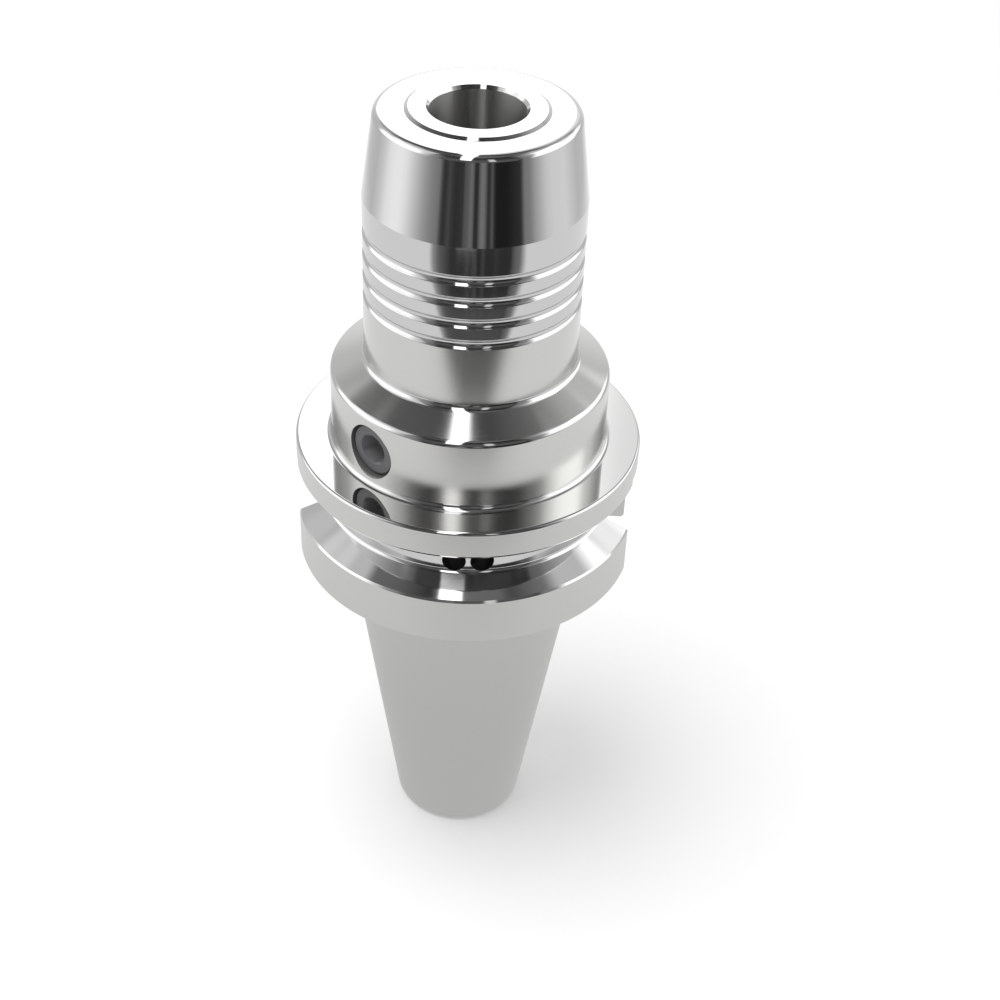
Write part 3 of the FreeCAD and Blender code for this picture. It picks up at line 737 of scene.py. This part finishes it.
def makeFloor(size):
    deselectAll()
    bpy.ops.mesh.primitive_circle_add(vertices=96, radius=size["floorRadius"], fill_type="NGON",
                                      location=(0, 0, size["floorHeight"]))
    floor = bpy.context.object
    floor.name = "studioFloor"
    material = bpy.data.materials.new("paleFloor")
    material.use_nodes = True
    material.cycles.emission_sampling = "NONE"
    nodes, links = material.node_tree.nodes, material.node_tree.links
    shader = nodes["Principled BSDF"]
    shader.inputs["Base Color"].default_value = (size["floorColor"],) * 3 + (1.0,)
    shader.inputs["Roughness"].default_value = 0.9
    shader.inputs["Specular IOR Level"].default_value = 0.0
    lift = nodes.new("ShaderNodeEmission")
    camera, gloss = seenBy(nodes, links)
    links.new(mathNode(nodes, links, "MULTIPLY", camera, size["floorLift"]), lift.inputs["Strength"])
    lit = nodes.new("ShaderNodeAddShader")
    links.new(shader.outputs[0], lit.inputs[0])
    links.new(lift.outputs[0], lit.inputs[1])
    place = nodes.new("ShaderNodeTexCoord")
    split = nodes.new("ShaderNodeSeparateXYZ")
    links.new(place.outputs["Object"], split.inputs[0])
    azimuth = azimuthNode(nodes, links, split.outputs[0], split.outputs[1])
    far = nodes.new("ShaderNodeVectorMath")
    far.operation = "LENGTH"
    links.new(place.outputs["Object"], far.inputs[0])
    # The dark part of the floor narrows to a tip near the chuck
    pastTip = mathNode(nodes, links, "SUBTRACT", far.outputs["Value"], size["wedgeTip"])
    share = mathNode(nodes, links, "DIVIDE", pastTip, size["wedgeFull"] - size["wedgeTip"])
    share = mathNode(nodes, links, "MINIMUM", mathNode(nodes, links, "MAXIMUM", share, 0.002), 1.0)
    wedge = mathNode(nodes, links, "DIVIDE", mathNode(nodes, links, "SUBTRACT", azimuth, size["wedgeMiddle"]),
                     mathNode(nodes, links, "SQRT", share, 0.0))
    wedge = mathNode(nodes, links, "ADD", wedge, size["wedgeMiddle"])
    stripes, front = frontNode(nodes, links, wedge, size["nearStripes"])
    inStripes = windowNode(nodes, links, far.outputs["Value"], size["calmNear"], size["calmFar"], 0.005)
    inner = windowNode(nodes, links, wedge, size["wedgeLeft"], size["wedgeRight"], 4)
    calm = mathNode(nodes, links, "MULTIPLY", inner, mathNode(nodes, links, "MULTIPLY", mathNode(
        nodes, links, "SUBTRACT", 1.0, inStripes), size["calmShare"]))
    stripes = mixValues(nodes, links, calm, stripes, size["calm"])
    tip = windowNode(nodes, links, far.outputs["Value"], size["wedgeTip"] + 0.004, 99, 0.004)
    # Close to the axis the level the metal sees drops: a painted shadow of the chuck on the floor
    outward = windowNode(nodes, links, far.outputs["Value"], 0.09, 99, 0.06)
    floorGlossShadowed = mixValues(nodes, links, outward, size["underShadowGloss"], size["floorGloss"])
    near = mixValues(nodes, links, mathNode(nodes, links, "MULTIPLY", front, tip), floorGlossShadowed, stripes)
    away = windowNode(nodes, links, far.outputs["Value"], (size["nearFloor"] + size["farFloor"]) / 2, 99,
                      (size["farFloor"] - size["nearFloor"]) / 2)
    total = mixValues(nodes, links, away, near, horizonNode(nodes, links, azimuth, size))
    mirrored = nodes.new("ShaderNodeEmission")
    sine = mathNode(nodes, links, "SINE", mathNode(nodes, links, "MULTIPLY", azimuth, math.pi / 180))
    across = mathNode(nodes, links, "MULTIPLY", far.outputs["Value"], sine)
    patchWide = windowNode(nodes, links, across, size["patchLeft"], size["patchRight"], 0.004)
    patchLong = windowNode(nodes, links, far.outputs["Value"], size["patchNear"], size["patchFar"], 0.003)
    patch = mathNode(nodes, links, "MULTIPLY", mathNode(nodes, links, "MULTIPLY", patchWide, patchLong), front)
    total = mixValues(nodes, links, patch, total, size["patch"])
    links.new(total, mirrored.inputs["Strength"])
    choice = nodes.new("ShaderNodeMixShader")
    links.new(gloss, choice.inputs[0])
    links.new(lit.outputs[0], choice.inputs[1])
    links.new(mirrored.outputs[0], choice.inputs[2])
    links.new(choice.outputs[0], nodes["Material Output"].inputs["Surface"])
    floor.data.materials.append(material)


def makeWorld(size):
    world = bpy.data.worlds.new("studioWorld")
    bpy.context.scene.world = world
    world.use_nodes = True
    world.cycles.sampling_method = "NONE"
    nodes, links = world.node_tree.nodes, world.node_tree.links
    background = nodes["Background"]
    background.inputs["Color"].default_value = (1, 1, 1, 1)
    place = nodes.new("ShaderNodeTexCoord")
    split = nodes.new("ShaderNodeSeparateXYZ")
    links.new(place.outputs["Generated"], split.inputs[0])
    azimuth = azimuthNode(nodes, links, split.outputs[0], split.outputs[1])
    elevation = mathNode(nodes, links, "ARCSINE", split.outputs[2])
    elevation = mathNode(nodes, links, "MULTIPLY", elevation, 180 / math.pi)
    sine = mathNode(nodes, links, "SINE", mathNode(nodes, links, "MULTIPLY", azimuth, math.pi / 180))
    cosine = mathNode(nodes, links, "COSINE", mathNode(nodes, links, "MULTIPLY", elevation, math.pi / 180))
    turnedX = mathNode(nodes, links, "MULTIPLY", sine, cosine)
    lean = mathNode(nodes, links, "MULTIPLY", turnedX, size["fadeTilt"])
    tilted = mathNode(nodes, links, "SUBTRACT", elevation, lean)
    share = mathNode(nodes, links, "DIVIDE", mathNode(nodes, links, "ADD", tilted, 90.0), 180.0)
    fade = rampNode(nodes, links, share, size["fade"], -90, 90, 1.0)
    around = mathNode(nodes, links, "MULTIPLY", horizonNode(nodes, links, azimuth, size), fade)
    turned = mathNode(nodes, links, "ABSOLUTE", azimuth)
    behind = windowNode(nodes, links, turned, 180 - size["backHalfWidth"], 999, 4)
    level = mathNode(nodes, links, "MULTIPLY", windowNode(nodes, links, elevation, size["backLow"], 999, 5),
                     windowNode(nodes, links, elevation, -999, size["backHigh"], size["backFade"]))
    rightEdge = 180 - (size["backRightFrom"] + size["backRightTo"]) / 2
    rightSoft = (size["backRightTo"] - size["backRightFrom"]) / 2
    rightward = windowNode(nodes, links, azimuth, 100, rightEdge, rightSoft)
    glow = mixValues(nodes, links, rightward, size["backGlow"], size["backRight"])
    around = mixValues(nodes, links, mathNode(nodes, links, "MULTIPLY", behind, level), around, glow)
    for left, right, sideSoft, low, top, highSoft, brightness in size["boxes"]:
        share = mathNode(nodes, links, "MULTIPLY", windowNode(nodes, links, azimuth, left, right, sideSoft),
                         windowNode(nodes, links, elevation, low, top, highSoft))
        around = mixValues(nodes, links, share, around, brightness)
    forward = mathNode(nodes, links, "COSINE", mathNode(nodes, links, "MULTIPLY", azimuth, math.pi / 180))
    turnedY = mathNode(nodes, links, "MULTIPLY", forward, mathNode(nodes, links, "MULTIPLY", cosine, -1.0))
    # The strip leans and widens towards the front only
    ahead = mathNode(nodes, links, "MINIMUM", turnedY, 0.0)
    leaning = mathNode(nodes, links, "MULTIPLY", ahead, size["slitLean"])
    across = mathNode(nodes, links, "SUBTRACT", turnedX, leaning)
    widening = mathNode(nodes, links, "MULTIPLY", ahead, size["slitWiden"])
    wider = mathNode(nodes, links, "SUBTRACT", across, widening)
    slit = mathNode(nodes, links, "MULTIPLY",
                    windowNode(nodes, links, wider, size["slitFrom"], 9, size["slitSoft"]),
                    windowNode(nodes, links, across, -9, size["slitTo"], size["slitSoft"]))
    front = windowNode(nodes, links, turnedY, -2.0, size["slitBack"], 0.02)
    slit = mathNode(nodes, links, "MULTIPLY", slit, front)
    high = windowNode(nodes, links, elevation, size["slitLow"], 999, 4)
    around = mixValues(nodes, links, mathNode(nodes, links, "MULTIPLY", slit, high), around, size["slit"])
    camera, gloss = seenBy(nodes, links)
    strength = mixValues(nodes, links, gloss, size["worldDiffuse"], around)
    strength = mixValues(nodes, links, camera, strength, 1.0)
    links.new(strength, background.inputs["Strength"])


def makeLamp(size):
    bpy.ops.object.light_add(type="AREA", location=(-0.35, -0.15, size["lampHeight"]))
    lamp = bpy.context.object
    lamp.name = "softLamp"
    lamp.data.shape = "DISK"
    lamp.data.size = size["lampSize"]
    lamp.data.energy = size["lampPower"]
    lamp.rotation_euler = Vector((0.35, 0.15, -size["lampHeight"])).to_track_quat("-Z", "Y").to_euler()
    lamp.visible_glossy = False


def makeCamera(size):
    bpy.ops.object.camera_add()
    camera = bpy.context.object
    camera.data.sensor_width = 36.0
    camera.data.lens = size["lens"]
    el, roll = math.radians(size["elevation"]), math.radians(size["roll"])
    back = Vector((0, -math.cos(el), math.sin(el)))
    right = Vector((1, 0, 0))
    up = back.cross(right)
    rows = Matrix((right * math.cos(roll) + up * math.sin(roll),
                   -right * math.sin(roll) + up * math.cos(roll), back))
    yaw, pitch = math.radians(size["yaw"]), math.radians(size["pitch"])
    turnYaw = Matrix(((math.cos(yaw), 0, math.sin(yaw)), (0, 1, 0), (-math.sin(yaw), 0, math.cos(yaw))))
    turnPitch = Matrix(((1, 0, 0), (0, math.cos(pitch), math.sin(pitch)),
                        (0, -math.sin(pitch), math.cos(pitch))))
    rotation = (turnPitch @ turnYaw @ rows).transposed()
    camera.matrix_world = (Matrix.Translation(size["location"])
                           @ Matrix.Rotation(math.radians(size["azimuth"]), 4, "Z") @ rotation.to_4x4())
    camera.data.clip_start, camera.data.clip_end = 0.01, 20.0
    bpy.context.scene.camera = camera


makeFloor(studio)
makeWorld(studio)
makeLamp(studio)
makeCamera(cameraSize)
print("studio done")
bpy.context.scene.view_settings.view_transform = "Standard"

print("scene done")
